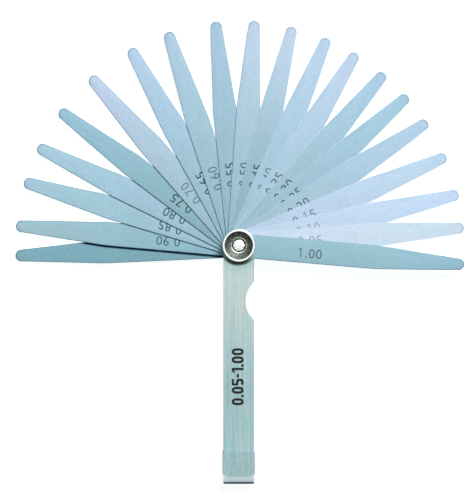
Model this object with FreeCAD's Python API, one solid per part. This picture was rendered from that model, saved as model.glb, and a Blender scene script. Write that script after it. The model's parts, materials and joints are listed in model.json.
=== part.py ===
"""Feeler gauge: twenty tapered spring-steel blades on one pivot screw, in a folded steel case with a lock nut.

Frame: the pivot axis is +Z, through the origin. The gauge lies on its back, so z = 0 is the flat face of the
screw's head, the lock nut is on top, the case points along -Y and the blades are fanned out round +Y.
"""

import math
import os

import FreeCAD
import Part

Vec = FreeCAD.Vector

# Driving dimensions, in millimetres and degrees -------------------------------------------------------------

BLADE_LENGTH = 100.0
BLADE_WIDTH = 10.0
TIP_WIDTH = 5.0
TAPER_START = 57.0  # from the pivot to where the sides begin to close in
TAPER_BLEND_RADIUS = 60.0  # eases the parallel sides into the taper
BLADE_CLEARANCE = 0.02  # film between neighbours in the pack

CASE_WIDTH = 12.9
CASE_LENGTH = 100.3  # from the pivot to the outside of the tail
CASE_THICKNESS = 0.8
CASE_HEAD_RISE = 0.65  # centre of the rounded head, above the pivot
TAIL_BEND_RADIUS = 3.3  # outside of each of the tail's two bends
TAIL_SWELL = 0.35  # how far each cover stands out near the tail
SWELL_RUN = 3.0  # length of the slope up to the swell
SWELL_LENGTH = 10.6  # from the top of the slope to the tail bend
SWELL_WIDTH = 13.8  # across the covers where they swell
SWELL_CORNER_RADIUS = 1.8

NOTCH_RADIUS = 11.3
NOTCH_DEPTH = 3.5
NOTCH_DISTANCE = 23.4  # from the pivot, towards the tail

SHANK_RADIUS = 2.5
RUNNING_CLEARANCE = 0.05  # radial, between each turning piece and the shank
HEAD_RADIUS = 4.7
HEAD_HEIGHT = 1.4
HEAD_CHAMFER = 0.35
NECK_SIDE = 5.0  # square neck that keeps the screw from turning in the rear cover
NECK_CLEARANCE = 0.05

WASHER_RADIUS = 6.1
WASHER_THICKNESS = 0.5

NUT_RADIUS = 6.65
NUT_HEIGHT = 3.0
NUT_RIM_RADIUS = 0.8  # rounded edge round the top
DISH_OUTER_RADIUS = 5.9
DISH_INNER_RADIUS = 3.6
DISH_DEPTH = 0.95
BOSS_RADIUS = 3.4
BOSS_HEIGHT = 2.35  # top of the ring inside the dish
BOSS_EDGE_RADIUS = 0.2
COUNTERBORE_RADIUS = 2.65
COUNTERBORE_FLOOR = 1.3
KNURL_RADIUS = 6.85  # over the crests
KNURL_DEPTH = 0.2
KNURL_COUNT = 60
KNURL_BOTTOM = 0.35  # above the nut's base
KNURL_TOP = 2.05

THREAD_RADIUS = 2.4
THREAD_END_CHAMFER = 0.3
THREAD_END_BELOW_RIM = 0.3
STAKE_COUNT = 4
STAKE_RADIUS = 0.35

# Blades from the rear cover to the front one: thickness, and how far the fan has it turned clockwise from +Y.
BLADE_FAN = [
    (0.95, -92.6),
    (0.90, -84.9),
    (0.85, -73.5),
    (0.80, -63.9),
    (0.75, -53.0),
    (0.70, -41.3),
    (0.65, -28.8),
    (0.60, -18.4),
    (0.55, -5.9),
    (0.50, 4.0),
    (0.45, 13.8),
    (0.40, 23.1),
    (0.35, 31.4),
    (0.30, 40.2),
    (0.25, 48.5),
    (0.20, 56.8),
    (0.15, 66.8),
    (0.10, 76.9),
    (0.05, 85.5),
    (1.00, 94.9),
]

# Heights that follow from the stack -------------------------------------------------------------------------

PACK_HEIGHT = sum(thickness for thickness, _ in BLADE_FAN) + BLADE_CLEARANCE * (len(BLADE_FAN) + 1)
REAR_OUTSIDE = HEAD_HEIGHT
REAR_INSIDE = REAR_OUTSIDE + CASE_THICKNESS
FRONT_INSIDE = REAR_INSIDE + PACK_HEIGHT
FRONT_OUTSIDE = FRONT_INSIDE + CASE_THICKNESS
NUT_BASE = FRONT_OUTSIDE + WASHER_THICKNESS
THREAD_END = NUT_BASE + NUT_HEIGHT - THREAD_END_BELOW_RIM


def arc(start, middle, end):
    """Edge of the circular arc through three points."""
    return Part.Arc(start, middle, end).toShape()


def line(start, end):
    return Part.LineSegment(start, end).toShape()


def prism(edges, height):
    """Solid above the closed outline that the edges make, in whatever order they lie."""
    wire = Part.Wire(Part.__sortEdges__(edges))
    return Part.Face(wire).extrude(Vec(0, 0, height))


def cylinder(radius, bottom, top):
    return Part.makeCylinder(radius, top - bottom, Vec(0, 0, bottom))


def blade_outline(base):
    """Edges of one blade that points along +Y: round root, parallel sides, taper and round tip."""
    half, tip = BLADE_WIDTH / 2, TIP_WIDTH / 2
    tip_centre = BLADE_LENGTH - half - tip
    reach = math.hypot(half, tip_centre - TAPER_START)
    heading = math.atan2(tip_centre - TAPER_START, -half) - math.asin(tip / reach)
    turn = heading - math.pi / 2
    blend = TAPER_BLEND_RADIUS
    blend_start = TAPER_START - blend * math.tan(turn / 2)

    def on_blend(angle):
        return half - blend + blend * math.cos(angle), blend_start + blend * math.sin(angle)

    tangent = (tip * math.cos(turn), tip_centre + tip * math.sin(turn))
    edges = []
    for side in (1, -1):
        start, middle, end = (Vec(side * x, y, base) for x, y in map(on_blend, (0, turn / 2, turn)))
        touch = Vec(side * tangent[0], tangent[1], base)
        edges += [line(Vec(side * half, 0, base), start), arc(start, middle, end), line(end, touch)]
    left, right = (Vec(side * tangent[0], tangent[1], base) for side in (-1, 1))
    edges.append(arc(left, Vec(0, tip_centre + tip, base), right))
    edges.append(arc(Vec(-half, 0, base), Vec(0, -half, base), Vec(half, 0, base)))
    return edges


def blade(thickness, turned, base):
    """One blade at its height in the pack, turned clockwise from +Y."""
    solid = prism(blade_outline(base), thickness)
    hole = cylinder(SHANK_RADIUS + RUNNING_CLEARANCE, base - 1, base + thickness + 1)
    solid = solid.cut(hole)
    solid.rotate(Vec(), Vec(0, 0, 1), -turned)
    return solid


def cover_profile(inset):
    """Side view of the case's outside, moved inwards by inset: two covers, each with a swell, and the tail."""
    radius = TAIL_BEND_RADIUS - inset
    bend_at = -CASE_LENGTH + TAIL_BEND_RADIUS
    swell_at = bend_at + SWELL_LENGTH
    slope_at = swell_at + SWELL_RUN
    head_end = CASE_WIDTH
    tail = -CASE_LENGTH + inset
    edges = []
    ends = []
    for side, flat in ((1, FRONT_OUTSIDE - inset), (-1, REAR_OUTSIDE + inset)):
        raised = flat + side * TAIL_SWELL
        corner = raised - side * radius
        diagonal = radius / math.sqrt(2)
        head, slope, swell, bend = (
            Vec(0, y, z) for y, z in ((head_end, flat), (slope_at, flat), (swell_at, raised), (bend_at, raised))
        )
        below = Vec(0, bend_at - diagonal, corner + side * diagonal)
        end = Vec(0, tail, corner)
        edges += [line(head, slope), line(slope, swell), line(swell, bend), arc(bend, below, end)]
        ends.append((head, end))
    edges.append(line(ends[0][1], ends[1][1]))
    return edges, ends[0][0], ends[1][0]


def case():
    """Both covers and the tail: one strip folded into a U, with a rounded head and a thumb notch."""
    outside, front_out, rear_out = cover_profile(0)
    inside, front_in, rear_in = cover_profile(CASE_THICKNESS)
    edges = outside + inside + [line(front_out, front_in), line(rear_out, rear_in)]
    wire = Part.Wire(Part.__sortEdges__(edges))
    strip = Part.Face(wire).extrude(Vec(2 * CASE_WIDTH, 0, 0))
    strip.translate(Vec(-CASE_WIDTH, 0, 0))

    half = CASE_WIDTH / 2
    tall = FRONT_OUTSIDE + 4
    tail = -CASE_LENGTH - 1
    plan = prism(
        [
            arc(
                Vec(-half, CASE_HEAD_RISE, -2),
                Vec(0, CASE_HEAD_RISE + half, -2),
                Vec(half, CASE_HEAD_RISE, -2),
            ),
            line(Vec(-half, CASE_HEAD_RISE, -2), Vec(-half, tail, -2)),
            line(Vec(-half, tail, -2), Vec(half, tail, -2)),
            line(Vec(half, tail, -2), Vec(half, CASE_HEAD_RISE, -2)),
        ],
        tall,
    )
    bend_at = -CASE_LENGTH + TAIL_BEND_RADIUS
    swell = Part.makeBox(SWELL_WIDTH, SWELL_LENGTH, tall, Vec(-SWELL_WIDTH / 2, bend_at, -2))
    upright = [e for e in swell.Edges if abs(e.tangentAt(e.FirstParameter).z) > 0.9]
    plan = plan.fuse(swell.makeFillet(SWELL_CORNER_RADIUS, upright))
    notch = cylinder(NOTCH_RADIUS, -3, tall)
    notch.translate(Vec(half - NOTCH_DEPTH + NOTCH_RADIUS, -NOTCH_DISTANCE, 0))
    front_hole = cylinder(SHANK_RADIUS + RUNNING_CLEARANCE, FRONT_INSIDE - 1, FRONT_OUTSIDE + 1)
    side = NECK_SIDE + 2 * NECK_CLEARANCE
    rear_hole = Part.makeBox(side, side, CASE_THICKNESS + 1, Vec(-side / 2, -side / 2, REAR_OUTSIDE - 0.5))
    return strip.common(plan).cut(notch).cut(front_hole).cut(rear_hole)


def pivot_screw():
    """Low round head, square neck, shank, threaded end and the stakes that keep the nut on."""
    head = cylinder(HEAD_RADIUS, 0, HEAD_HEIGHT)
    rim = [e for e in head.Edges if len(e.Vertexes) == 1 and abs(e.CenterOfMass.z) < 1e-6]
    head = head.makeChamfer(HEAD_CHAMFER, rim)
    neck = Part.makeBox(
        NECK_SIDE, NECK_SIDE, CASE_THICKNESS, Vec(-NECK_SIDE / 2, -NECK_SIDE / 2, HEAD_HEIGHT)
    )
    shank = cylinder(SHANK_RADIUS, REAR_INSIDE, NUT_BASE - 0.1)
    thread = cylinder(THREAD_RADIUS, NUT_BASE - 0.1, THREAD_END)
    top = [e for e in thread.Edges if len(e.Vertexes) == 1 and abs(e.CenterOfMass.z - THREAD_END) < 1e-6]
    thread = thread.makeChamfer(THREAD_END_CHAMFER, top)
    screw = head.fuse([neck, shank, thread])
    ring = THREAD_RADIUS - THREAD_END_CHAMFER
    for index in range(STAKE_COUNT):
        angle = 2 * math.pi * (index + 0.5) / STAKE_COUNT
        dimple = Part.makeSphere(STAKE_RADIUS, Vec(ring * math.cos(angle), ring * math.sin(angle), THREAD_END))
        screw = screw.cut(dimple)
    return screw.removeSplitter()


def nut_washer():
    ring = cylinder(WASHER_RADIUS, FRONT_OUTSIDE, NUT_BASE)
    return ring.cut(cylinder(SHANK_RADIUS + RUNNING_CLEARANCE, FRONT_OUTSIDE - 1, NUT_BASE + 1))


def nut_section():
    """Half section of the nut in the XZ plane: base, rounded rim, dish, boss and counterbore."""
    bore = THREAD_RADIUS + RUNNING_CLEARANCE
    rim = NUT_RIM_RADIUS
    edge = BOSS_EDGE_RADIUS
    diagonal = 1 - 1 / math.sqrt(2)

    def at(radius, height):
        return Vec(radius, 0, NUT_BASE + height)

    return [
        line(at(bore, 0), at(NUT_RADIUS, 0)),
        line(at(NUT_RADIUS, 0), at(NUT_RADIUS, NUT_HEIGHT - rim)),
        arc(
            at(NUT_RADIUS, NUT_HEIGHT - rim),
            at(NUT_RADIUS - rim * diagonal, NUT_HEIGHT - rim * diagonal),
            at(NUT_RADIUS - rim, NUT_HEIGHT),
        ),
        line(at(NUT_RADIUS - rim, NUT_HEIGHT), at(DISH_OUTER_RADIUS, NUT_HEIGHT)),
        line(at(DISH_OUTER_RADIUS, NUT_HEIGHT), at(DISH_INNER_RADIUS, NUT_HEIGHT - DISH_DEPTH)),
        line(at(DISH_INNER_RADIUS, NUT_HEIGHT - DISH_DEPTH), at(BOSS_RADIUS, NUT_HEIGHT - DISH_DEPTH)),
        line(at(BOSS_RADIUS, NUT_HEIGHT - DISH_DEPTH), at(BOSS_RADIUS, BOSS_HEIGHT)),
        line(at(BOSS_RADIUS, BOSS_HEIGHT), at(COUNTERBORE_RADIUS + edge, BOSS_HEIGHT)),
        arc(
            at(COUNTERBORE_RADIUS + edge, BOSS_HEIGHT),
            at(COUNTERBORE_RADIUS + edge * diagonal, BOSS_HEIGHT - edge * diagonal),
            at(COUNTERBORE_RADIUS, BOSS_HEIGHT - edge),
        ),
        line(at(COUNTERBORE_RADIUS, BOSS_HEIGHT - edge), at(COUNTERBORE_RADIUS, COUNTERBORE_FLOOR)),
        line(at(COUNTERBORE_RADIUS, COUNTERBORE_FLOOR), at(bore, COUNTERBORE_FLOOR)),
        line(at(bore, COUNTERBORE_FLOOR), at(bore, 0)),
    ]


def knurl():
    """Band of straight teeth that stands out from the nut's side."""
    points = []
    for index in range(2 * KNURL_COUNT):
        radius = KNURL_RADIUS - KNURL_DEPTH * (index % 2)
        angle = math.pi * index / KNURL_COUNT
        points.append(Vec(radius * math.cos(angle), radius * math.sin(angle), NUT_BASE + KNURL_BOTTOM))
    band = Part.Face(Part.makePolygon(points + points[:1])).extrude(Vec(0, 0, KNURL_TOP - KNURL_BOTTOM))
    return band.cut(cylinder(COUNTERBORE_RADIUS + 2, NUT_BASE - 1, NUT_BASE + NUT_HEIGHT))


def lock_nut():
    """Round nut with a straight knurl and a dished face."""
    wire = Part.Wire(Part.__sortEdges__(nut_section()))
    turned = Part.Face(wire).revolve(Vec(), Vec(0, 0, 1), 360)
    return turned.fuse(knurl())


def parts():
    """Every piece, by node name."""
    made = {
        "case": case(),
        "pivot_screw": pivot_screw(),
        "nut_washer": nut_washer(),
        "lock_nut": lock_nut(),
    }
    base = REAR_INSIDE + BLADE_CLEARANCE
    for thickness, turned in BLADE_FAN:
        name = f"blade_{thickness:.2f}".replace(".", "_")
        made[name] = blade(thickness, turned, base)
        base += thickness + BLADE_CLEARANCE
    return made


def main():
    os.makedirs("parts", exist_ok=True)
    for name, shape in parts().items():
        if not shape.isValid() or len(shape.Solids) != 1:
            raise ValueError(f"{name} is not one sound solid")
        shape.exportStep(f"parts/{name}.step")
        print(f"{name}: {shape.Volume:.1f} mm3, z {shape.BoundBox.ZMin:.2f} to {shape.BoundBox.ZMax:.2f}")


main()
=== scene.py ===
"""Looks of the feeler gauge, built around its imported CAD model.

Lengths in this file are millimetres, and are turned into metres when a mesh is made. Tones are sRGB, with
channels from 0 to 255. The pivot axis is +Z through the origin, and the case points along -Y.
"""

import json
import math

import bmesh
import bpy
from mathutils import Matrix, Vector, geometry


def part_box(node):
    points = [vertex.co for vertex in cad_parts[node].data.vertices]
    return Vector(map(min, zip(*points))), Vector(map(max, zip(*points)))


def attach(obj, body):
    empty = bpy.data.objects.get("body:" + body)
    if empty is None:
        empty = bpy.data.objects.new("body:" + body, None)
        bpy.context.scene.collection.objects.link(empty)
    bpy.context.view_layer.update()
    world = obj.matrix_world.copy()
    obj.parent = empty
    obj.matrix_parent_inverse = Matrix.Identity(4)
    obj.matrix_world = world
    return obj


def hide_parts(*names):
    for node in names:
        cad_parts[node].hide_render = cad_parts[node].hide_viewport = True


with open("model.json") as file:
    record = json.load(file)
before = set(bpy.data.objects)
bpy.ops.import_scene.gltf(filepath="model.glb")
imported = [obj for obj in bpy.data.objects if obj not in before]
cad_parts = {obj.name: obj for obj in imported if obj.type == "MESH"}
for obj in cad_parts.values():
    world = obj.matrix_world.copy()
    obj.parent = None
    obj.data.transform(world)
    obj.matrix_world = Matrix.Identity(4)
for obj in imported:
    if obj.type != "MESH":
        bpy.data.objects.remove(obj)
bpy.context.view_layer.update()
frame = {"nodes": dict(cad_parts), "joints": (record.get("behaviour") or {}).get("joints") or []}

MM = 0.001
TAU = 2 * math.pi
WELD = 0.0004  # points closer than this are one
CASE_WELD = 0.002

# Blades: shape ------------------------------------------------------------------------------------

BLADE_LENGTH = 100.0  # from end to end
BLADE_HALF_WIDTH = 5.0
TIP_RADIUS = 2.5
TIP_CENTRE = BLADE_LENGTH - BLADE_HALF_WIDTH - TIP_RADIUS  # from the pivot
TAPER_START = 57.0  # from the pivot to where the sides begin to close in
TAPER_BLEND_RADIUS = 60.0
BLADE_HOLE_RADIUS = 2.55
HOLE_STEPS = 48
EDGE_BREAK = 0.26  # the most that a blade's edge is broken
EDGE_BREAK_SHARE = 0.36  # and the most of its thickness that this takes

FACE_SLOT, NUMBER_SLOT, EDGE_SLOT, UNDER_SLOT = range(4)

# Blades: numbers ----------------------------------------------------------------------------------

NUMBER_START = 24.7  # from the pivot to the first digit's cell
NUMBER_SPAN = 13.0  # more than any number takes
NUMBER_HEIGHT = 3.95
DIGIT_WIDTH = 2.42
DIGIT_PITCH = 2.97
POINT_PITCH = 1.69
FONT_FIGURE_HEIGHT = 0.72  # of the built-in font at size 1
ONE_STROKE = 0.115 * NUMBER_HEIGHT
ONE_FLAG = 0.21 * NUMBER_HEIGHT
PLAIN, BOLD = -0.03, 0.06  # how far the strokes are widened on either side
BOLD_BELOW = 30  # numbers whose red is under this are bold

# Blades: finish -----------------------------------------------------------------------------------

# Tones at the root, at the tip and of the number, and how far the number is to the left of the middle line.
# The root and tip tones are partly the steel's own tone and partly painted light and shade: each blade, and
# each tip, is as light or dark as the light falls on it, so the tips of the upward blades are painted
# lighter.
BLADE_TONES_AND_PAINTED_LIGHT = {
    "blade_0_95": {"root": (126, 172, 185), "tip": (133, 184, 199), "ink": (50, 80, 95), "shift": -0.8},
    "blade_0_90": {"root": (146, 188, 204), "tip": (167, 204, 214), "ink": (55, 90, 105), "shift": 1.0},
    "blade_0_85": {"root": (158, 196, 212), "tip": (168, 206, 222), "ink": (45, 80, 95), "shift": 1.1},
    "blade_0_80": {"root": (156, 193, 210), "tip": (169, 206, 223), "ink": (45, 80, 95), "shift": 0.8},
    "blade_0_75": {"root": (136, 178, 189), "tip": (150, 192, 210), "ink": (25, 50, 64), "shift": 0.5},
    "blade_0_70": {"root": (156, 189, 202), "tip": (182, 201, 224), "ink": (92, 124, 144), "shift": 0.7},
    "blade_0_65": {"root": (148, 186, 200), "tip": (168, 195, 218), "ink": (12, 26, 38), "shift": 0.0},
    "blade_0_60": {"root": (146, 183, 196), "tip": (160, 187, 207), "ink": (70, 104, 122), "shift": 0.5},
    "blade_0_55": {"root": (143, 179, 193), "tip": (149, 178, 198), "ink": (34, 62, 74), "shift": 0.4},
    "blade_0_50": {"root": (148, 183, 197), "tip": (166, 186, 205), "ink": (50, 80, 92), "shift": -0.1},
    "blade_0_45": {"root": (138, 175, 186), "tip": (167, 185, 206), "ink": (20, 44, 56), "shift": 0.1},
    "blade_0_40": {"root": (152, 187, 203), "tip": (160, 183, 204), "ink": (90, 112, 130), "shift": 0.4},
    "blade_0_35": {"root": (158, 189, 206), "tip": (165, 184, 204), "ink": (72, 96, 114), "shift": 0.7},
    "blade_0_30": {"root": (147, 181, 194), "tip": (148, 179, 198), "ink": (36, 62, 74), "shift": 0.5},
    "blade_0_25": {"root": (148, 181, 197), "tip": (145, 180, 197), "ink": (46, 76, 88), "shift": 0.3},
    "blade_0_20": {"root": (155, 186, 202), "tip": (158, 186, 205), "ink": (48, 80, 92), "shift": -0.2},
    "blade_0_15": {"root": (177, 199, 220), "tip": (171, 196, 215), "ink": (108, 122, 142), "shift": 0.1},
    "blade_0_10": {"root": (184, 205, 225), "tip": (182, 203, 228), "ink": (140, 160, 182), "shift": 0.1},
    "blade_0_05": {"root": (194, 212, 229), "tip": (190, 210, 223), "ink": (148, 166, 184), "shift": -0.2},
    "blade_1_00": {"root": (145, 184, 196), "tip": (143, 184, 200), "ink": (50, 82, 96), "shift": -0.8},
}
METAL_SHARE = 0.45  # oxide and fine scratches make the rest of the steel look matt
TONE_CHANGE = (27.0, 90.0)  # from the pivot, where the root's tone turns into the tip's
# How far painted shade darkens the rim of a blade's tip.
TIP_RIM_SHADE = 0.74
# Thinner blades' edges are given a painted highlight. The others get a sheared edge tone darkened with
# painted shade, which deepens the shadow lines between the blades.
THIN_BLADE = 0.47  # edges are polished on thinner blades, and left as sheared on the others
EDGE_HIGHLIGHT = (206, 234, 255)
EDGE_SHEARED_SHADE = (110, 144, 160)
# The painted shadow that the blade above casts on the lowest blade: the two blades, and the line's width and
# tone.
SHADOWED_BLADE, BLADE_CASTING_SHADOW = "blade_0_95", "blade_0_90"
SHADOW_LINE_WIDTH = 0.68
SHADOW_LINE_TONE = (8, 46, 62)

# Case ---------------------------------------------------------------------------------------------

COVER_FRONT = 13.92
CUT_EDGE_BREAK = 0.13

RANGE_TEXT = "0.05-1.00"
RANGE_START = -67.0
RANGE_ACROSS = -0.45  # the mark's middle, from the case's centre line
RANGE_HEIGHT = 5.0
RANGE_FIGURE_WIDTH = 2.95
RANGE_STROKE = 1.03
RANGE_GAP = 0.42
RANGE_DASH = 1.6
RANGE_FLAG = 1.1  # how far the one's flag stands out
RANGE_INK = (8, 11, 13)
INK_LIFT = 0.008  # thickness of the printed ink

# Where the tail's pressed zone ends, below and above: on the centre line, and at the strip's sides.
PRESSED_LOWER = (-96.7, -95.3)
PRESSED_UPPER = (-85.9, -87.5)

CASE_COOL = (161, 205, 207)
CASE_WARM = (180, 205, 212)
# Painted highlight on the cover below the pivot.
CASE_PIVOT_HIGHLIGHT = (195, 212, 209)
CASE_FLANK = (200, 212, 213)
# Painted highlight on the tail's bend.
CASE_BEND_HIGHLIGHT = (226, 250, 255)
# Painted dark reflection at the bottom of the bend.
CASE_DARK_REFLECTION = (16, 58, 80)
# Painted shadow of the nut on the cover.
CASE_NUT_SHADOW = (70, 90, 62)
# Greenish tint fading out below the nut.
CASE_TINT_BELOW_NUT = (140, 178, 152)
# Painted shade line along the cover's right edge.
CASE_EDGE_SHADE = (112, 116, 132)

# Nut, washer and screw: radii, and heights above the nut's base -----------------------------------

NUT_BORE = 2.45
NUT_BAND = 6.6  # the plain bands above and below the knurl
NUT_RIM = 6.84
KNURL_CREST = 6.85
KNURL_ROOT = 6.62
KNURL_COUNT = 60
KNURL_START, KNURL_END = 0.32, 2.26
DISH_EDGE = 5.98
DISH_SLOPE = 4.15  # inside this the dish is at its dullest
DISH_FOOT = 3.56
DISH_DEPTH = 1.02
BOSS_FOOT = 3.4
RING_OUTSIDE = 3.34
RING_INSIDE = 2.84
RING_DEPTH = 0.66  # below the nut's top
COUNTERBORE_RADIUS = 2.6
COUNTERBORE_FLOOR = 1.3
CHROME_SLOT, DISH_SLOT, RECESS_SLOT, RING_SLOT, ROOT_SLOT = range(5)

WASHER_BORE = 2.55
WASHER_RADIUS = 6.1

HEAD_RADIUS = 4.7
HEAD_FACE_RADIUS = 4.1  # the flat that the driver's slot is cut into
HEAD_TOP = 1.39
SLOT_HALF_LENGTH = 3.4
SLOT_HALF_WIDTH = 0.55
SLOT_DEPTH = 0.65
SHANK_RADIUS = 2.5
THREAD_MIDDLE = 2.3
THREAD_ROOT = 2.12
THREAD_DEPTH = 0.26
THREAD_PITCH = 0.8
THREAD_RINGS = 60
END_HEIGHT = 0.5  # the plain end above the thread
# The rim of the screw's end: radius, and depth below the top.
END_RIM = [(2.38, 0.34), (2.38, 0.16), (2.32, 0.08), (2.2, 0.05), (2.0, 0.04)]
SCREW_STEPS = 96
# Punch marks on the screw's end: where each is, and its size.
PITS = [(-0.15, -0.25, 0.34), (0.5, 0.35, 0.22), (-0.85, -0.95, 0.24), (0.55, -0.7, 0.2), (-0.9, 0.75, 0.18)]

NUT_CHROME = (240, 246, 247)
WASHER_TONE = (150, 158, 160)
SCREW_TONE = (226, 231, 232)
# The nut's hollows: darkest and lightest grey, and the least roughness.
DISH_TONES = (74, 154, 0.36)
RECESS_TONES = (58, 120, 0.26)
RING_TONES = (136, 200, 0.3)
ROOT_TONES = (70, 150, 0.44)

# Studio -------------------------------------------------------------------------------------------

FLOOR_HALF_WIDTH = 3000.0
FLOOR_LEVEL = -0.2
FLOOR_GREY = (0.8, 0.8, 0.8, 1)
FLOOR_GLOW = 0.8
SKY_STRENGTH = 0.6
SKY_FAR_END = (0.45, 0.89, 0)  # the direction in which the sky is lighter near the horizon
# Height in the sky and grey level there.
SKY_DARK = ((0.0, 0.05), (0.45, 0.09), (0.72, 0.18), (0.93, 0.33), (0.98, 0.38), (0.993, 2.2))
SKY_LIGHT = ((0.0, 0.35), (0.4, 0.42), (0.93, 0.36), (0.98, 0.38), (0.993, 2.2))
KEY_PLACE = (180.0, 370.0, 900.0)
KEY_SIZE = 260.0
KEY_ENERGY = 7.1
CAMERA_PLACE = (-0.95, -1.9, 810.0)
CAMERA_LENS = 136.7
CAMERA_SENSOR = 36.0
CAMERA_NEAR = 10.0

# Helpers ------------------------------------------------------------------------------------------


def srgb(red, green, blue):
    """Linear colour of an sRGB one whose channels run from 0 to 255."""

    def linear(value):
        value = value / 255
        return value / 12.92 if value <= 0.04045 else ((value + 0.055) / 1.055) ** 2.4

    return (linear(red), linear(green), linear(blue), 1.0)


def add_piece(name, vertices, faces, materials, body, node, slots=None, sharp_angle=35):
    """A mesh object from points in millimetres that stands for a CAD node and rides on its body."""
    mesh = bpy.data.meshes.new(name)
    mesh.from_pydata([Vector(v) * MM for v in vertices], [], faces)
    for material in materials:
        mesh.materials.append(material)
    if slots:
        mesh.polygons.foreach_set("material_index", slots)
    return finish_piece(name, mesh, body, node, sharp_angle)


def finish_piece(name, mesh, body, node, sharp_angle):
    """Welds and shades a mesh, ties it to its body, and hides the CAD node it replaces, if there is one."""
    work = bmesh.new()
    work.from_mesh(mesh)
    bmesh.ops.remove_doubles(work, verts=work.verts, dist=WELD * MM)
    bmesh.ops.recalc_face_normals(work, faces=work.faces)
    work.to_mesh(mesh)
    work.free()
    mesh.shade_smooth()
    mesh.set_sharp_from_angle(angle=math.radians(sharp_angle))
    piece = bpy.data.objects.new(name, mesh)
    bpy.context.scene.collection.objects.link(piece)
    even = piece.modifiers.new("even_shading", "WEIGHTED_NORMAL")
    even.keep_sharp = True
    even.weight = 90
    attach(piece, body)
    if node:
        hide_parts(node)
    return piece


def add_grain(mesh, place):
    """UV map in millimetres: place takes a point and its face's normal and gives the two numbers."""
    layer = mesh.uv_layers.new(name="grain")
    for face in mesh.polygons:
        for loop in face.loop_indices:
            point = mesh.vertices[mesh.loops[loop].vertex_index].co / MM
            layer.data[loop].uv = place(point, face.normal)


def triangulated(points, edges):
    """Points in a plane, joined into triangles that keep to the edges."""
    corners = [Vector(p) for p in points]
    made, _, triangles, _, _, _ = geometry.delaunay_2d_cdt(corners, edges, [], 0, 1e-6)
    return made, triangles


def arc_points(centre, radius, start, end, steps):
    """Points on an arc, angles in radians, both ends included."""
    return [
        (
            centre[0] + radius * math.cos(start + (end - start) * i / steps),
            centre[1] + radius * math.sin(start + (end - start) * i / steps),
        )
        for i in range(steps + 1)
    ]

# Blades -------------------------------------------------------------------------------------------


def taper():
    """Where the taper's blend begins, and how far the sides turn in, in radians."""
    rise = TIP_CENTRE - TAPER_START
    reach = math.hypot(BLADE_HALF_WIDTH, rise)
    heading = math.atan2(rise, -BLADE_HALF_WIDTH) - math.asin(TIP_RADIUS / reach)
    turn = heading - math.pi / 2
    return TAPER_START - TAPER_BLEND_RADIUS * math.tan(turn / 2), turn


def blade_loop(inset):
    """Outline of a blade that points along +Y, moved inwards by inset."""
    blend_start, turn = taper()
    root = arc_points((0, 0), BLADE_HALF_WIDTH - inset, -math.pi / 2, 0, 20)
    blend_centre = (BLADE_HALF_WIDTH - TAPER_BLEND_RADIUS, blend_start)
    blend = arc_points(blend_centre, TAPER_BLEND_RADIUS - inset, 0, turn, 6)
    tip = arc_points((0, TIP_CENTRE), TIP_RADIUS - inset, turn, math.pi / 2, 16)
    right = root + blend + tip
    left = [(-x, y) for x, y in reversed(right[1:-1])]
    return right + left


def digit_one(stroke):
    """A one with a flag, which the built-in font's one does not have."""
    half = stroke / 2
    corners = [
        (-half, 0),
        (half, 0),
        (half, NUMBER_HEIGHT),
        (-0.3 * half, NUMBER_HEIGHT),
        (-half - ONE_FLAG, 0.85 * NUMBER_HEIGHT),
        (-half - ONE_FLAG, 0.74 * NUMBER_HEIGHT),
        (-half, 0.85 * NUMBER_HEIGHT),
    ]
    return corners, [(i, (i + 1) % len(corners)) for i in range(len(corners))]


def character_outline(character, spread):
    """Points and edges of one character of the built-in font, standing on y = 0 and centred on x = 0."""
    curve = bpy.data.curves.new("character", "FONT")
    curve.body = character
    curve.size = NUMBER_HEIGHT / FONT_FIGURE_HEIGHT
    curve.resolution_u = 4
    curve.offset = spread
    curve.fill_mode = "NONE"
    holder = bpy.data.objects.new("character", curve)
    mesh = bpy.data.meshes.new_from_object(holder)
    points = [(v.co.x, v.co.y) for v in mesh.vertices]
    edges = [tuple(e.vertices) for e in mesh.edges]
    bpy.data.objects.remove(holder)
    bpy.data.curves.remove(curve)
    bpy.data.meshes.remove(mesh)
    low = min(x for x, y in points)
    high = max(x for x, y in points)
    scale = DIGIT_WIDTH / (high - low) if character.isdigit() else 1
    middle = (low + high) / 2
    return [((x - middle) * scale, y) for x, y in points], edges


def number_outline(text, spread):
    """Points and edges of a number, its reading direction along +X. spread fattens the font's strokes."""
    points, edges = [], []
    x = 0
    for character in text:
        if character == "1":
            outline, joined = digit_one(ONE_STROKE + 2 * spread)
        else:
            outline, joined = character_outline(character, spread)
        pitch = POINT_PITCH if character == "." else DIGIT_PITCH
        first = len(points)
        points += [(x + pitch / 2 + across, up) for across, up in outline]
        edges += [(first + a, first + b) for a, b in joined]
        x += pitch
    return points, edges


def inside(point, points, edges):
    """Whether a point is inside the outline, counting the edges that a ray along +X crosses."""
    x, y = point
    odd = False
    for a, b in edges:
        (ax, ay), (bx, by) = points[a], points[b]
        if (ay > y) != (by > y) and x < ax + (y - ay) * (bx - ax) / (by - ay):
            odd = not odd
    return odd


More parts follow.
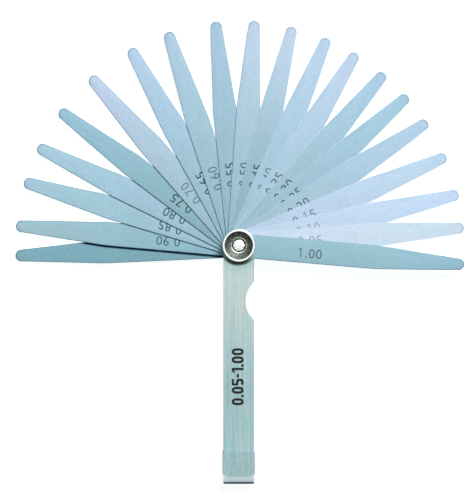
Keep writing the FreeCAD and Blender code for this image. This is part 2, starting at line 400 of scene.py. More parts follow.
def blade_face(text, shift, inset, spread):
    """A blade's face as triangles: its points, the triangles, and the material slot of each."""
    outline = blade_loop(inset)
    hole = arc_points((0, 0), BLADE_HOLE_RADIUS, 0, TAU, HOLE_STEPS)[:-1]
    points = outline + hole
    edges = []
    first = 0
    for count in (len(outline), len(hole)):
        edges += [(first + i, first + (i + 1) % count) for i in range(count)]
        first += count
    glyph_points, glyph_edges = number_outline(text, spread)
    placed = [(shift - y, NUMBER_START + x) for x, y in glyph_points]
    edges += [(first + a, first + b) for a, b in glyph_edges]
    made, triangles = triangulated(points + placed, edges)
    kept, slots = [], []
    for triangle in triangles:
        x = sum(made[i].x for i in triangle) / 3
        y = sum(made[i].y for i in triangle) / 3
        if math.hypot(x, y) < BLADE_HOLE_RADIUS:
            continue
        kept.append(triangle)
        near = NUMBER_START - 1 < y < NUMBER_START + NUMBER_SPAN
        inked = near and inside((x, y), placed, glyph_edges)
        slots.append(NUMBER_SLOT if inked else FACE_SLOT)
    return [tuple(p) for p in made], kept, slots


def blade_mesh(thickness, base, text, shift, spread):
    """Points, faces and material of each face for one blade along +Y, with its number let into the top."""
    edge = min(EDGE_BREAK, EDGE_BREAK_SHARE * thickness)
    section = [
        (edge, thickness),
        (0.3 * edge, thickness - 0.3 * edge),
        (0.0, thickness - edge),
        (0.0, edge),
        (0.3 * edge, 0.3 * edge),
        (edge, 0.0),
    ]
    points, faces, slots = [], [], []

    def add(new_points, new_faces, new_slots):
        first = len(points)
        points.extend(new_points)
        faces.extend([tuple(first + i for i in f) for f in new_faces])
        slots.extend(new_slots)

    flat, triangles, face_slots = blade_face(text, shift, edge, spread)
    add([(x, y, base + thickness) for x, y in flat], triangles, face_slots)
    flat, triangles, _ = blade_face("", 0, edge, spread)
    add([(x, y, base) for x, y in flat], triangles, [UNDER_SLOT] * len(triangles))
    rings = [[(x, y, base + z) for x, y in blade_loop(inset)] for inset, z in section]
    hole = arc_points((0, 0), BLADE_HOLE_RADIUS, 0, TAU, HOLE_STEPS)[:-1]
    walls = [[(x, y, base + z) for x, y in hole] for z in (thickness, 0)]
    for stack in (rings, walls):
        for upper, lower in zip(stack, stack[1:]):
            count = len(upper)
            quads = [(i, (i + 1) % count, count + (i + 1) % count, count + i) for i in range(count)]
            add(upper + lower, quads, [EDGE_SLOT] * count)
    return points, faces, slots


def fan_angle(node):
    """How far a blade is turned in the fan, in degrees: the middle of its joint's range."""
    for joint in frame["joints"]:
        if joint["child"] == node:
            return sum(joint["range_deg"]) / 2
    raise ValueError(node)


def add_blade(node):
    """One blade, turned to its place in the fan."""
    low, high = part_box(node)
    thickness, base = (high.z - low.z) / MM, low.z / MM
    finish = BLADE_TONES_AND_PAINTED_LIGHT[node]
    text = node.replace("blade_", "").replace("_", ".")
    spread = BOLD if finish["ink"][0] < BOLD_BELOW else PLAIN
    points, faces, slots = blade_mesh(thickness, base, text, NUMBER_HEIGHT / 2 - finish["shift"], spread)
    turn = Matrix.Rotation(-math.radians(fan_angle(node)), 3, "Z")
    points = [turn @ Vector(p) for p in points]
    steel = blade_steel("steel_" + node, finish, node == SHADOWED_BLADE)
    # The shadowed blade's underside has no painted shadow line.
    under = blade_steel("under_" + node, finish, False) if node == SHADOWED_BLADE else steel
    ink = number_ink("number_" + node, finish["ink"])
    materials = [steel, ink, edge_steel(thickness), under]
    piece = add_piece(node + "_look", points, faces, materials, node, node, slots)

    def place(point, normal):
        local = turn.inverted() @ Vector(point)
        return local.y, local.x

    add_grain(piece.data, place)

# Turned pieces ------------------------------------------------------------------------------------


def rounded(corners, closed=False, steps=4):
    """A profile from (radius, height, rounding) corners, each rounding replaced by an arc."""
    count = len(corners)
    out = []
    for i, (r, z, rounding) in enumerate(corners):
        if rounding == 0 or (not closed and i in (0, count - 1)):
            out.append((r, z))
            continue
        here = Vector((r, z))
        before = Vector(corners[i - 1][:2]) - here
        after = Vector(corners[(i + 1) % count][:2]) - here
        angle = before.angle(after)
        cut = rounding / math.tan(angle / 2)
        start = here + before.normalized() * cut
        between = (before.normalized() + after.normalized()).normalized()
        centre = here + between * rounding / math.sin(angle / 2)
        spoke = start - centre
        sweep = spoke.angle_signed(here + after.normalized() * cut - centre)
        for step in range(steps + 1):
            turn = Matrix.Rotation(-sweep * step / steps, 2)
            out.append(tuple(centre + turn @ spoke))
    return out


def lathe(profile, around, closed, shape=None):
    """Points and faces of a profile turned about the pivot axis. shape may move each of its points."""
    points, faces = [], []
    for j in range(around):
        angle = TAU * j / around
        for r, z in profile:
            if shape:
                r, z = shape(r, z, angle)
            points.append((r * math.cos(angle), r * math.sin(angle), z))
    count = len(profile)
    for j in range(around):
        here, there = j * count, (j + 1) % around * count
        for i in range(count if closed else count - 1):
            k = (i + 1) % count
            faces.append((here + i, there + i, there + k, here + k))
    if not closed:
        faces = merge_poles(points, faces)
    return points, faces


def merge_poles(points, faces):
    """Drops the doubled corners that faces have where a profile meets the axis."""
    poles = {}
    out = []
    for face in faces:
        kept = []
        for i in face:
            x, y, z = points[i]
            if math.hypot(x, y) < 1e-9:
                i = poles.setdefault(round(z, 6), i)
            if i not in kept:
                kept.append(i)
        if len(kept) > 2:
            out.append(tuple(kept))
    return out


def turned_grain(point, normal):
    """Grain that runs round the pivot axis."""
    return math.hypot(point.x, point.y) + 0.3 * point.z, 2 * math.atan2(point.y, point.x)


def nut_profile(height):
    """Half section of the nut as (radius, height, rounding) corners: bore, knurl, rim, dish and ring."""
    return [
        (NUT_BORE, 0, 0.1),
        (NUT_BAND, 0, 0.2),
        (NUT_BAND, KNURL_START, 0),
        (KNURL_CREST, KNURL_START + 0.18, 0.1),
        (KNURL_CREST, KNURL_END - 0.16, 0.1),
        (NUT_BAND, KNURL_END, 0),
        (NUT_RIM, KNURL_END + 0.18, 0.08),
        (NUT_RIM, height, 0.1),
        (DISH_EDGE, height, 0.08),
        (4.6, height - 0.64, 1.2),
        (DISH_FOOT, height - DISH_DEPTH, 0.08),
        (BOSS_FOOT, height - DISH_DEPTH + 0.02, 0.05),
        (RING_OUTSIDE, height - RING_DEPTH, 0.03),
        (RING_OUTSIDE - 0.1, height - RING_DEPTH, 0.03),
        (RING_INSIDE, height - RING_DEPTH - 0.09, 0.06),
        (COUNTERBORE_RADIUS + 0.02, height - RING_DEPTH - 0.49, 0.06),
        (COUNTERBORE_RADIUS, COUNTERBORE_FLOOR, 0.05),
        (NUT_BORE, COUNTERBORE_FLOOR, 0.05),
    ]


def nut_slot(radius, level):
    """The finish of a part of the nut, from its radius and its height above the nut's base."""
    if level < COUNTERBORE_FLOOR - 0.05 or radius > DISH_EDGE - 0.01:
        return CHROME_SLOT
    if radius > DISH_SLOPE:
        return DISH_SLOT
    if radius > BOSS_FOOT:
        return ROOT_SLOT
    return RING_SLOT if radius > RING_INSIDE else RECESS_SLOT


def add_nut():
    """The lock nut, with a knurl round its side."""
    low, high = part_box("lock_nut")
    base = low.z / MM
    profile = [(r, base + z) for r, z in rounded(nut_profile(high.z / MM - base), closed=True)]

    def knurl(r, z, angle):
        """Draws the band in between the crests."""
        if r > NUT_BAND + 0.01 and z < base + KNURL_END + 0.04:
            crest = abs((angle * KNURL_COUNT / TAU) % 1 - 0.5) * 2
            r = KNURL_ROOT + (r - KNURL_ROOT) * (0.1 + 0.9 * crest)
        return r, z

    points, faces = lathe(profile, KNURL_COUNT * 8, True, knurl)
    slots = []
    for face in faces:
        radius = sum(math.hypot(*points[i][:2]) for i in face) / len(face)
        level = sum(points[i][2] for i in face) / len(face) - base
        slots.append(nut_slot(radius, level))
    metals = [nut_chrome()]
    metals.append(nut_mottled("nut_dish", *DISH_TONES))
    metals.append(nut_mottled("nut_recess", *RECESS_TONES))
    metals.append(nut_mottled("nut_ring", *RING_TONES))
    metals.append(nut_mottled("nut_root", *ROOT_TONES))
    nut = add_piece("lock_nut_look", points, faces, metals, "nut", "lock_nut", slots, sharp_angle=40)
    add_grain(nut.data, turned_grain)


def add_washer():
    """The flat washer under the nut."""
    low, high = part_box("nut_washer")
    base, top = low.z / MM, high.z / MM
    outline = [
        (WASHER_BORE, base, 0.05),
        (WASHER_RADIUS, base, 0.08),
        (WASHER_RADIUS, top, 0.15),
        (WASHER_BORE, top, 0.05),
    ]
    points, faces = lathe(rounded(outline, closed=True), 128, True)
    washer = add_piece("nut_washer_look", points, faces, [washer_steel()], "washer", "nut_washer")
    add_grain(washer.data, turned_grain)


def slotted_disc():
    """The face of the screw's head: a disc at z = 0 with a driver's slot sunk upwards into it."""
    rim = arc_points((0, 0), HEAD_FACE_RADIUS, 0, TAU, SCREW_STEPS)[:-1]
    corners = box_loop(-SLOT_HALF_LENGTH, -SLOT_HALF_WIDTH, SLOT_HALF_LENGTH, SLOT_HALF_WIDTH)
    edges = [(i, (i + 1) % SCREW_STEPS) for i in range(SCREW_STEPS)]
    edges += [(SCREW_STEPS + i, SCREW_STEPS + (i + 1) % 4) for i in range(4)]
    made, triangles = triangulated(rim + corners, edges)
    points = [(p.x, p.y, 0.0) for p in made]
    faces = []
    for triangle in triangles:
        x = abs(sum(made[i].x for i in triangle) / 3)
        y = abs(sum(made[i].y for i in triangle) / 3)
        if x > SLOT_HALF_LENGTH or y > SLOT_HALF_WIDTH:
            faces.append(tuple(reversed(triangle)))
    first = len(points)
    points += [(x, y, z) for z in (0.0, SLOT_DEPTH) for x, y in corners]
    faces += [(first + i, first + (i + 1) % 4, first + 4 + (i + 1) % 4, first + 4 + i) for i in range(4)]
    faces.append((first + 7, first + 6, first + 5, first + 4))
    return points, faces


def screw_profile(top, nut_base):
    """Half section of the screw, from the rim of its head's face to the middle of its end."""
    profile = rounded([
        (HEAD_FACE_RADIUS, 0.0, 0),
        (HEAD_RADIUS - 0.25, 0.0, 0.3),
        (HEAD_RADIUS, 0.35, 0.12),
        (HEAD_RADIUS, HEAD_TOP, 0.12),
        (SHANK_RADIUS, HEAD_TOP, 0),
        (SHANK_RADIUS, nut_base - 0.1, 0),
        (SHANK_RADIUS - 0.25, nut_base - 0.1, 0),
    ])
    thread = top - END_HEIGHT - nut_base
    profile += [(THREAD_MIDDLE, nut_base + thread * i / THREAD_RINGS) for i in range(THREAD_RINGS + 1)]
    profile += [(radius, top - depth) for radius, depth in END_RIM]
    profile += [(0.1 * i, top - 0.03 * max(0, i - 14) / 4) for i in range(18, 0, -1)]
    return profile + [(0, top)]


def add_screw():
    """The pivot screw: slotted head at the back, thread under the nut, and an end punched over it."""
    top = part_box("pivot_screw")[1].z / MM
    nut_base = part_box("lock_nut")[0].z / MM

    def work(r, z, angle):
        """Cuts the thread, and dents the punched end."""
        if nut_base - 0.05 < z < top - END_HEIGHT + 0.01:
            phase = (z / THREAD_PITCH - angle / TAU) % 1
            r = THREAD_ROOT + THREAD_DEPTH * (1 - abs(2 * phase - 1))
        elif z > top - 0.4 and r > 0.1:
            x, y = r * math.cos(angle), r * math.sin(angle)
            for px, py, size in PITS:
                z -= 0.5 * size * math.exp(-((x - px) ** 2 + (y - py) ** 2) / (0.5 * size * size))
            z -= 0.012 * (1 + math.sin(7 * angle + math.sin(2 * angle))) * r
            r *= 1 + 0.012 * math.sin(5 * angle + 1.3)
        return r, z

    points, faces = lathe(screw_profile(top, nut_base), SCREW_STEPS, False, work)
    slot_points, slot_faces = slotted_disc()
    faces += [tuple(len(points) + i for i in face) for face in slot_faces]
    points += slot_points
    screw = add_piece("pivot_screw_look", points, faces, [screw_steel()], "handle", "pivot_screw")
    add_grain(screw.data, turned_grain)

# Case ---------------------------------------------------------------------------------------------


def add_case():
    """The CAD case with its cut edges broken, as a deburred pressing has them."""
    mesh = frame["nodes"]["case"].data.copy()
    mesh.materials.clear()
    work = bmesh.new()
    work.from_mesh(mesh)
    bmesh.ops.remove_doubles(work, verts=work.verts, dist=CASE_WELD * MM)
    bmesh.ops.dissolve_limit(work, angle_limit=math.radians(0.5), verts=work.verts, edges=work.edges)
    sharp = [e for e in work.edges if e.is_manifold and e.calc_face_angle() > math.radians(50)]
    size = {"offset": CUT_EDGE_BREAK * MM, "segments": 3, "profile": 0.5}
    bmesh.ops.bevel(work, geom=sharp, affect="EDGES", clamp_overlap=True, **size)
    work.to_mesh(mesh)
    work.free()
    finish_piece("case_look", mesh, "handle", "case", 30)
    mesh.materials.append(case_steel())

    def place(point, normal):
        """Lines along the strip: along the covers' faces and edges, and up the tail."""
        if abs(normal.y) > 0.7:
            return -point.z, point.x
        if abs(normal.x) > 0.7:
            return point.y, point.z
        return point.y, point.x

    add_grain(mesh, place)


def box_loop(left, bottom, right, top):
    """Corners of an upright box."""
    return [(left, bottom), (right, bottom), (right, top), (left, top)]


def oval_loop(width, height, inset, start=0.0, end=TAU, steps=40):
    """Part of a squarish oval that stands on y = 0 from x = 0, drawn inset from its outside."""
    out = []
    for i in range(steps + 1):
        angle = start + (end - start) * i / steps
        across = math.copysign(abs(math.cos(angle)) ** 0.75, math.cos(angle))
        up = math.copysign(abs(math.sin(angle)) ** 0.75, math.sin(angle))
        out.append((width / 2 + (width / 2 - inset) * across, height / 2 + (height / 2 - inset) * up))
    return out


def heavy_figure(character):
    """A character of the range mark: its width, its solid loops and its holes."""
    wide, tall, stroke = RANGE_FIGURE_WIDTH, RANGE_HEIGHT, RANGE_STROKE
    if character == ".":
        return stroke, [box_loop(0, 0, stroke, stroke)], []
    if character == "-":
        return RANGE_DASH, [box_loop(0, 0.4 * tall, RANGE_DASH, 0.4 * tall + 0.85 * stroke)], []
    if character == "0":
        return wide, [oval_loop(wide, tall, 0)[:-1]], [oval_loop(wide, tall, stroke)[:-1]]
    if character == "1":
        stem = box_loop(RANGE_FLAG, 0, RANGE_FLAG + stroke, tall)
        flag = [(0, 0.86 * tall), (0, 0.68 * tall), (RANGE_FLAG, 0.8 * tall), (RANGE_FLAG, tall)]
        return RANGE_FLAG + stroke, [stem, flag + [(RANGE_FLAG - 0.3, tall)]], []
    bowl = 0.64 * tall
    outside = oval_loop(wide, bowl, 0, math.radians(130), math.radians(-150))
    within = oval_loop(wide, bowl, stroke, math.radians(-150), math.radians(130))
    top = box_loop(0.12, tall - 0.9 * stroke, wide - 0.1, tall)
    stem = box_loop(0.12, 0.45 * tall, 0.12 + 0.85 * stroke, tall)
    return wide, [outside + within, top, stem], []


def range_outline():
    """The range mark's points and edges, and the edges of its solid loops and of its holes, loop by loop."""
    points, edges, solids, holes = [], [], [], []
    reach = 0
    for character in RANGE_TEXT:
        width, filled, empty = heavy_figure(character)
        for loops, kind in ((filled, solids), (empty, holes)):
            for loop in loops:
                first = len(points)
                points += [(reach + x, y) for x, y in loop]
                joined = [(first + i, first + (i + 1) % len(loop)) for i in range(len(loop))]
                edges += joined
                kind.append(joined)
        reach += width + RANGE_GAP
    return points, edges, solids, holes


def add_range_mark():
    """The range of the set, printed in heavy figures along the front cover."""
    points, edges, solids, holes = range_outline()
    made, triangles = triangulated(points, edges)
    kept = []
    for triangle in triangles:
        middle = [sum(made[i][axis] for i in triangle) / 3 for axis in (0, 1)]
        solid = any(inside(middle, points, loop) for loop in solids)
        if solid and not any(inside(middle, points, loop) for loop in holes):
            kept.append(triangle)
    front = COVER_FRONT + INK_LIFT
    left = RANGE_ACROSS + RANGE_HEIGHT / 2
    points = [(left - p.y, RANGE_START + p.x, front) for p in made]
    mark = add_piece("range_mark", points, kept, [number_ink("range_ink", RANGE_INK, 0.05)], "handle", None)
    add_grain(mark.data, lambda point, normal: (point.y, point.x))

# Materials ----------------------------------------------------------------------------------------


class Shader:
    """A Principled material and short ways to add nodes to it."""

    def __init__(self, name, **constants):
        self.material = bpy.data.materials.new(name)
        self.material.use_nodes = True
        self.tree = self.material.node_tree
        self.surface = self.tree.nodes["Principled BSDF"]
        for socket, value in constants.items():
            self.surface.inputs[socket.replace("_", " ")].default_value = value

    def node(self, kind, settings=(), **inputs):
        """Adds a node and gives its outputs. An input is named, or is an underscore and its number."""
        made = self.tree.nodes.new("ShaderNode" + kind)
        for key, value in dict(settings).items():
            setattr(made, key, value)
        for key, value in inputs.items():
            socket = made.inputs[int(key[1:])] if key[1:].isdigit() else made.inputs[key.replace("_", " ")]
            if isinstance(value, bpy.types.NodeSocket):
                self.tree.links.new(value, socket)
            else:
                socket.default_value = value
        return made.outputs

    def grain(self, along, across, detail=3.0, roughness=0.6):
        """Streaks: noise with the given numbers of cycles per millimetre along and across the grain."""
        place = self.node("UVMap", {"uv_map": "grain"})["UV"]
        scaled = self.node("Mapping", Vector=place, Scale=(along, across, 1.0))["Vector"]
        noise = self.node("TexNoise", Vector=scaled, Scale=1.0, Detail=detail, Roughness=roughness)
        return noise["Fac"]

    def spread(self, value, low, high, at_low=0.3, at_high=0.7):
        """Maps a value to a range. The limits at which it is reached suit a noise unless they are given."""
        limits = {"From_Min": at_low, "From_Max": at_high, "To_Min": low, "To_Max": high}
        return self.node("MapRange", {"clamp": True}, Value=value, **limits)["Result"]

    def ramp(self, coordinate, start, end):
        """0 before start and 1 after end, in millimetres along a coordinate, or the other way round."""
        return self.spread(coordinate, 0.0, 1.0, start * MM, end * MM)

    def compute(self, operation, *values):
        """The result of a math node."""
        numbered = {"_%d" % index: value for index, value in enumerate(values)}
        return self.node("Math", {"operation": operation}, **numbered)[0]

    def product(self, first, *others):
        """Two or more values multiplied, such as masks that all have to hold."""
        for other in others:
            first = self.compute("MULTIPLY", first, other)
        return first

    def length(self, vector):
        """The length of a vector."""
        return self.node("VectorMath", {"operation": "LENGTH"}, _0=vector)["Value"]

    def times(self, color, factor):
        """A colour made darker or lighter."""
        grey = self.node("CombineColor", Red=factor, Green=factor, Blue=factor)["Color"]
        settings = {"data_type": "RGBA", "blend_type": "MULTIPLY"}
        return self.node("Mix", settings, _0=1.0, _6=color, _7=grey)[2]

    def vary(self, color, noise, share):
        """A colour made up to a share darker or lighter, as a noise goes."""
        return self.times(color, self.spread(noise, 1 - share, 1 + share))

    def blend(self, factor, first, second):
        """A factor's share of the way from one colour to another."""
        return self.node("Mix", {"data_type": "RGBA"}, _0=factor, _6=first, _7=second)[2]

    def set(self, socket, value):
        """Feeds a socket of the surface."""
        self.tree.links.new(value, self.surface.inputs[socket])

    def bump(self, height, distance, strength=1.0):
        """Relief that a noise gives, with its depth in millimetres."""
        made = self.node("Bump", Height=height, Distance=distance * MM, Strength=strength)
        self.set("Normal", made["Normal"])


def painted_shadow_line(shader, along, across):
    """Painted shadow on the shadowed blade: a dark line beside the edge of the blade above it, where that
    blade's shadow falls.
    """
    angle = math.radians(fan_angle(BLADE_CASTING_SHADOW) - fan_angle(SHADOWED_BLADE))
    slope = math.tan(angle)
    taper_slope = math.tan(angle + taper()[1]) - slope
    edge = shader.compute("MULTIPLY_ADD", along, slope, -BLADE_HALF_WIDTH / math.cos(angle))
    past = shader.compute("MAXIMUM", shader.compute("SUBTRACT", along, TAPER_START), 0.0)
    edge = shader.compute("MULTIPLY_ADD", past, taper_slope, edge)
    gap = shader.compute("SUBTRACT", edge, across)
    below = shader.spread(gap, 1.0, 0.0, SHADOW_LINE_WIDTH, 1.6 * SHADOW_LINE_WIDTH)
    above = shader.spread(gap, 0.0, 1.0, -0.3, 0.0)
    return shader.product(below, above)


def tip_rim_shade(shader, place, along):
    """Where painted shade darkens a blade's rounded tip: its outer rim."""
    centre = (TIP_CENTRE, 0.0, 0.0)
    moved = shader.node("VectorMath", {"operation": "SUBTRACT"}, _0=place, _1=centre)["Vector"]
    rim = shader.spread(shader.length(moved), 0.0, 1.0, TIP_RADIUS - 0.75, TIP_RADIUS - 0.35)
    beyond = shader.spread(along, 0.0, 1.0, TIP_CENTRE - 0.8, TIP_CENTRE + 0.6)
    return shader.product(rim, beyond)


def blade_steel(name, finish, shadowed):
    """Ground spring steel: fine lines along the blade, a matt mottle, a change of tone to the tip that is
    partly painted light, painted shade on the tip's rim, and a painted shadow line on the shadowed blade.
    """
    shader = Shader(name, Metallic=METAL_SHARE)
    place = shader.node("UVMap", {"uv_map": "grain"})["UV"]
    split = shader.node("SeparateXYZ", Vector=place)
    along, across = split["X"], split["Y"]
    lines = shader.grain(0.06, 7.0, 4.0)
    mottle = shader.grain(0.6, 1.5, 3.0, 0.75)
    cloud = shader.grain(0.05, 0.25, 2.0)
    scratches = shader.grain(0.025, 2.6, 2.0)
    rise = shader.spread(along, 0.0, 1.0, *TONE_CHANGE)
    # Root and tip tones, partly the steel's own and partly painted light and shade.
    tone = shader.blend(rise, srgb(*finish["root"]), srgb(*finish["tip"]))
    tone = shader.vary(tone, lines, 0.09)
    tone = shader.vary(tone, mottle, 0.09)
    tone = shader.vary(tone, cloud, 0.035)
    tone = shader.times(tone, shader.spread(scratches, 1.0, 1.16, 0.66, 0.7))
    # Painted shade round the tip's rim.
    tone = shader.times(tone, shader.spread(tip_rim_shade(shader, place, along), 1.0, TIP_RIM_SHADE, 0.0, 1.0))
    # Painted shadow of the blade above, with little specular so that it stays dark.
    if shadowed:
        line = painted_shadow_line(shader, along, across)
        tone = shader.blend(line, tone, srgb(*SHADOW_LINE_TONE))
        shader.set("Specular IOR Level", shader.spread(line, 0.5, 0.05, 0.0, 1.0))
    shader.set("Base Color", tone)
    shader.set("Roughness", shader.spread(lines, 0.48, 0.64))
    shader.bump(lines, 0.004, 0.5)
    return shader.material


def edge_steel(thickness):
    """The rim of a blade: a sheared edge tone darkened with painted shade on a thick one, a painted
    highlight on a thin one.
    """
    thin = thickness < THIN_BLADE
    name = "blade_edge_thin" if thin else "blade_edge"
    made = bpy.data.materials.get(name)
    if made:
        return made
    shader = Shader(name, Metallic=METAL_SHARE)
    burrs = shader.grain(0.5, 6.0, 4.0)
    tone = srgb(*(EDGE_HIGHLIGHT if thin else EDGE_SHEARED_SHADE))
    shader.set("Base Color", shader.times(tone, shader.spread(burrs, 0.75, 1.2)))
    shader.set("Roughness", shader.spread(burrs, 0.35, 0.55))
    shader.bump(burrs, 0.01, 0.6)
    return shader.material


def number_ink(name, tone, worn_share=0.22):
    """Etched and blackened figures, worn unevenly: worn_share of the way to a pale grey."""
    shader = Shader(name, Metallic=0.2)
    wear = shader.grain(1.3, 1.3, 4.0)
    wear_and_edge_shade = [channel + worn_share * (200 - channel) for channel in tone]
    shader.set("Base Color", shader.blend(shader.spread(wear, 0, 1), srgb(*tone), srgb(*wear_and_edge_shade)))
    shader.set("Roughness", shader.spread(wear, 0.5, 0.7))
    shader.bump(wear, 0.004)
    return shader.material


def brushed_case(shader, place, lines, dents):
    """The sheet's tone: brushed along the strip, with a painted highlight below the pivot, lighter at the
    tail.
    """
    streaks = shader.grain(0.02, 0.9, 4.0)
    cloud = shader.grain(0.09, 0.16, 2.0)
    wander = shader.grain(0.3, 0.3, 2.0)
    tone = shader.blend(shader.spread(cloud, 0, 1), srgb(*CASE_COOL), srgb(*CASE_WARM))
    # Painted highlight: the broad pool of the softbox's light on the cover below the pivot.
    nearer = shader.ramp(place["Y"], -50.0, -26.0)
    fading = shader.spread(place["Y"], 1.0, 0.35, -15.0 * MM, -6.0 * MM)
    pivot_highlight = shader.product(nearer, shader.spread(wander, 0.6, 1.0), fading)
    tone = shader.blend(pivot_highlight, tone, srgb(*CASE_PIVOT_HIGHLIGHT))
    tone = shader.times(tone, shader.spread(place["Y"], 1.1, 0.96, -84.0 * MM, -62.0 * MM))
    tone = shader.vary(tone, dents, 0.05)
    tone = shader.vary(tone, lines, 0.16)
    return shader.vary(tone, streaks, 0.13)


def pressed_tail(shader, place, away, dents, tone):
    """Adds the pressed zone darkened with painted shade, its paler flanks and the painted highlight on the
    bend. Also gives the mask of the bend's highlight.
    """

    def climb(low, high, width):
        """Rises from 0 to 1 as high climbs above low, over a width in millimetres."""
        return shader.ramp(shader.compute("SUBTRACT", high, low), 0.0, width)

    corner = shader.compute("POWER", shader.ramp(away, 4.4, 6.6), 2.0)
    lower, upper = (
        shader.spread(corner, middle * MM, side * MM, 0.0, 1.0)
        for middle, side in (PRESSED_LOWER, PRESSED_UPPER)
    )
    pressed_shade = shader.product(climb(lower, place["Y"], 0.8), climb(place["Y"], upper, 1.2))
    # Painted shade: the pressed, tilted zone is darkened in its colour.
    tone = shader.blend(pressed_shade, tone, shader.times(tone, shader.spread(dents, 0.89, 1.01)))
    flank = shader.product(shader.ramp(place["Y"], -85.7, -86.7), shader.ramp(place["Y"], -97.1, -96.5))
    flank = shader.product(flank, shader.spread(away, 0.0, 0.8, 6.1 * MM, 6.5 * MM))
    tone = shader.blend(flank, tone, srgb(*CASE_FLANK))
    # Painted highlight on the bend, where its curve catches the light.
    bend_highlight = shader.product(shader.ramp(place["Z"], 11.0, 12.0), climb(place["Y"], lower, 0.9))
    return shader.blend(bend_highlight, tone, srgb(*CASE_BEND_HIGHLIGHT)), bend_highlight


def marked_pivot(shader, place, tone):
    """Adds what shows on the front round the nut: a greenish tint fading out below it, the nut's painted
    shadow below it, and a painted shade line along the right edge.
    """
    flat = shader.node("Mapping", Vector=shader.node("TexCoord")["Object"], Scale=(1, 1, 0))["Vector"]
    reach = shader.length(flat)
    front = shader.ramp(place["Z"], 12.8, 13.4)
    # A greenish tint that fades out below the nut.
    tint_below_nut = shader.spread(reach, 0.4, 0.0, 8.0 * MM, 12.5 * MM)
    tint_below_nut = shader.product(front, tint_below_nut, shader.ramp(place["Y"], -5.0, -7.5))
    tone = shader.blend(tint_below_nut, tone, srgb(*CASE_TINT_BELOW_NUT))
    # Painted shadow of the nut, on the cover below it.
    nut_shadow = shader.spread(reach, 0.97, 0.0, 7.9 * MM, 8.8 * MM)
    nut_shadow = shader.product(front, nut_shadow, shader.ramp(place["Y"], -3.5, -6.5))
    tone = shader.blend(nut_shadow, tone, srgb(*CASE_NUT_SHADOW))
    # Painted shade line along the cover's right edge beside the nut, where the lit bevel is darkened.
    wear_and_edge_shade = shader.product(shader.ramp(place["Y"], -16.0, -15.0), shader.ramp(place["Y"], -3.0, -6.0))
    wear_and_edge_shade = shader.product(front, shader.ramp(place["X"], 6.2, 6.4), wear_and_edge_shade)
    return shader.blend(wear_and_edge_shade, tone, srgb(*CASE_EDGE_SHADE))


def case_steel():
    """Brushed sheet, with painted light: a painted highlight below the pivot and on the bend, painted shade
    on the pressed zone of the tail, and a painted dark reflection at the bottom of the bend.
    """
    shader = Shader("case_steel", Metallic=METAL_SHARE)
    place = shader.node("SeparateXYZ", Vector=shader.node("TexCoord")["Object"])
    away = shader.compute("ABSOLUTE", place["X"])
    lines = shader.grain(0.03, 4.0, 4.0)
    dents = shader.grain(0.45, 0.75, 3.0, 0.7)
    tone = brushed_case(shader, place, lines, dents)
    tone, bend_highlight = pressed_tail(shader, place, away, dents, tone)
    # Painted dark reflection across the bottom of the bend, fading down the tail; rough and without specular
    # so that it stays dark.
    rise = shader.ramp(place["Z"], 9.0, 12.4)
    dark_reflection = shader.product(shader.ramp(place["Y"], -99.2, -99.35), rise, rise)
    tone = shader.blend(dark_reflection, tone, srgb(*CASE_DARK_REFLECTION))
    shader.set("Base Color", marked_pivot(shader, place, tone))
    # The bend's painted highlight is made non-metallic so that its pale tone shows.
    shader.set("Metallic", shader.spread(bend_highlight, METAL_SHARE, 0.0, 0.0, 1.0))
    shader.set("Roughness", shader.compute("MAXIMUM", shader.spread(lines, 0.36, 0.52), dark_reflection))
    shader.set("Specular IOR Level", shader.spread(dark_reflection, 0.5, 0.0, 0.0, 1.0))
    shader.bump(lines, 0.006, 0.6)
    return shader.material


def nut_chrome():
    """Plated steel with turning marks."""
    shader = Shader("nut_chrome", Metallic=1.0)
    rings = shader.grain(7.0, 0.05)
    shader.set("Base Color", shader.times(srgb(*NUT_CHROME), shader.spread(rings, 0.93, 1.03)))
    shader.set("Roughness", shader.spread(rings, 0.12, 0.22))
    shader.bump(rings, 0.003, 0.5)
    return shader.material


def nut_mottled(name, dark, light, smoothest):
    """The hollows of the nut: dull and mottled, because nothing rubs them bright."""
    shader = Shader(name, Metallic=1.0)
    rings = shader.grain(7.0, 0.05)
    place = shader.node("TexCoord")["Object"]
    mottle = shader.node("TexNoise", Vector=place, Scale=1500.0, Detail=4.0, Roughness=0.75)["Fac"]
    tones = [srgb(level, 1.06 * level, 0.98 * level) for level in (dark, light)]
    tone = shader.blend(shader.spread(mottle, 0, 1, 0.4, 0.6), *tones)
    shader.set("Base Color", shader.times(tone, shader.spread(rings, 0.93, 1.03)))
    shader.set("Roughness", shader.spread(mottle, smoothest, smoothest + 0.2))
    shader.bump(mottle, 0.01, 0.5)
    return shader.material


def washer_steel():
    """Plain turned steel."""
    shader = Shader("washer_steel", Metallic=1.0)
    rings = shader.grain(5.0, 0.3)
    shader.set("Base Color", shader.times(srgb(*WASHER_TONE), shader.spread(rings, 0.9, 1.08)))
    shader.set("Roughness", shader.spread(rings, 0.3, 0.45))
    return shader.material


def screw_steel():
    """Bright steel, hammered at the end."""
    shader = Shader("screw_steel", Metallic=0.7)
    rings = shader.grain(6.0, 0.4)
    shader.set("Base Color", shader.times(srgb(*SCREW_TONE), shader.spread(rings, 0.95, 1.04)))
    shader.set("Roughness", shader.spread(rings, 0.38, 0.5))
    shader.bump(rings, 0.004, 0.6)
    return shader.material

# Studio -------------------------------------------------------------------------------------------


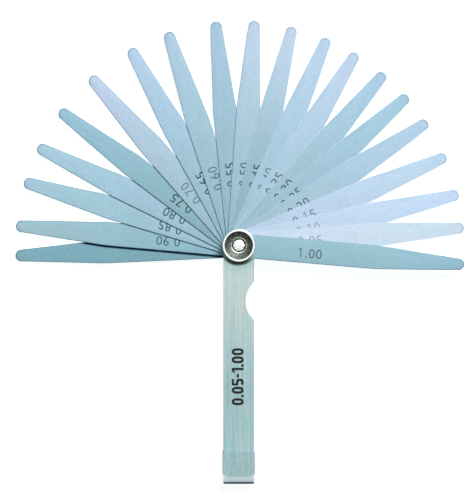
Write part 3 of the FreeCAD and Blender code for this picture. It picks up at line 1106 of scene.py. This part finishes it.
def add_floor():
    """A plain white floor just under the gauge."""
    mesh = bpy.data.meshes.new("floor")
    corners = box_loop(-FLOOR_HALF_WIDTH, -FLOOR_HALF_WIDTH, FLOOR_HALF_WIDTH, FLOOR_HALF_WIDTH)
    mesh.from_pydata([(x * MM, y * MM, 0) for x, y in corners], [], [(0, 1, 2, 3)])
    floor = bpy.data.objects.new("floor", mesh)
    floor.location.z = FLOOR_LEVEL * MM
    bpy.context.scene.collection.objects.link(floor)
    shader = Shader("floor", Roughness=0.9)
    shader.surface.inputs["Base Color"].default_value = FLOOR_GREY
    shader.surface.inputs["Emission Color"].default_value = (1, 1, 1, 1)
    shader.surface.inputs["Emission Strength"].default_value = FLOOR_GLOW
    mesh.materials.append(shader.material)
    floor.visible_glossy = False


def add_world():
    """A pale studio dome: white overhead, dark towards the horizon except at the far end, dark below it."""
    world = bpy.data.worlds.new("studio")
    bpy.context.scene.world = world
    world.use_nodes = True
    nodes, links = world.node_tree.nodes, world.node_tree.links
    nodes.clear()
    direction = nodes.new("ShaderNodeTexCoord").outputs["Generated"]
    split = nodes.new("ShaderNodeSeparateXYZ")
    links.new(direction, split.inputs[0])
    towards = nodes.new("ShaderNodeVectorMath")
    towards.operation = "DOT_PRODUCT"
    towards.inputs[1].default_value = SKY_FAR_END
    links.new(direction, towards.inputs[0])
    side = nodes.new("ShaderNodeMapRange")
    side.inputs["From Min"].default_value = -0.1
    side.inputs["From Max"].default_value = 0.75
    links.new(towards.outputs["Value"], side.inputs["Value"])
    dark = sky_ramp(nodes, SKY_DARK)
    light = sky_ramp(nodes, SKY_LIGHT)
    mix = nodes.new("ShaderNodeMix")
    mix.data_type = "RGBA"
    background = nodes.new("ShaderNodeBackground")
    background.inputs["Strength"].default_value = SKY_STRENGTH
    output = nodes.new("ShaderNodeOutputWorld")
    for ramp in (dark, light):
        links.new(split.outputs["Z"], ramp.inputs["Fac"])
    links.new(side.outputs["Result"], mix.inputs[0])
    links.new(dark.outputs["Color"], mix.inputs[6])
    links.new(light.outputs["Color"], mix.inputs[7])
    links.new(mix.outputs[2], background.inputs["Color"])
    links.new(background.outputs[0], output.inputs[0])


def sky_ramp(nodes, stops):
    """A grey ramp over the height of the sky, from (height, level) pairs."""
    ramp = nodes.new("ShaderNodeValToRGB")
    elements = ramp.color_ramp.elements
    elements.remove(elements[1])
    for index, (position, level) in enumerate(stops):
        element = elements.new(position) if index else elements[0]
        element.position = position
        element.color = (level, level, level, 1)
    return ramp


def add_key_light():
    """A round softbox above and to the upper right, whose shadows mark the steps between the blades."""
    data = bpy.data.lights.new("softbox", "AREA")
    data.shape = "DISK"
    data.size = KEY_SIZE * MM
    data.energy = KEY_ENERGY
    light = bpy.data.objects.new("softbox", data)
    bpy.context.scene.collection.objects.link(light)
    light.location = Vector(KEY_PLACE) * MM
    light.rotation_euler = (-light.location).to_track_quat("-Z", "Y").to_euler()


def add_camera():
    """Straight above the gauge."""
    camera = bpy.data.objects.new("camera", bpy.data.cameras.new("camera"))
    bpy.context.scene.collection.objects.link(camera)
    camera.location = Vector(CAMERA_PLACE) * MM
    camera.data.lens = CAMERA_LENS
    camera.data.sensor_width = CAMERA_SENSOR
    camera.data.clip_start = CAMERA_NEAR * MM
    bpy.context.scene.camera = camera
    bpy.context.scene.view_settings.view_transform = "Standard"

# Scene --------------------------------------------------------------------------------------------

for name in BLADE_TONES_AND_PAINTED_LIGHT:
    add_blade(name)
add_case()
add_range_mark()
add_screw()
add_washer()
add_nut()
add_floor()
add_world()
add_key_light()
add_camera()
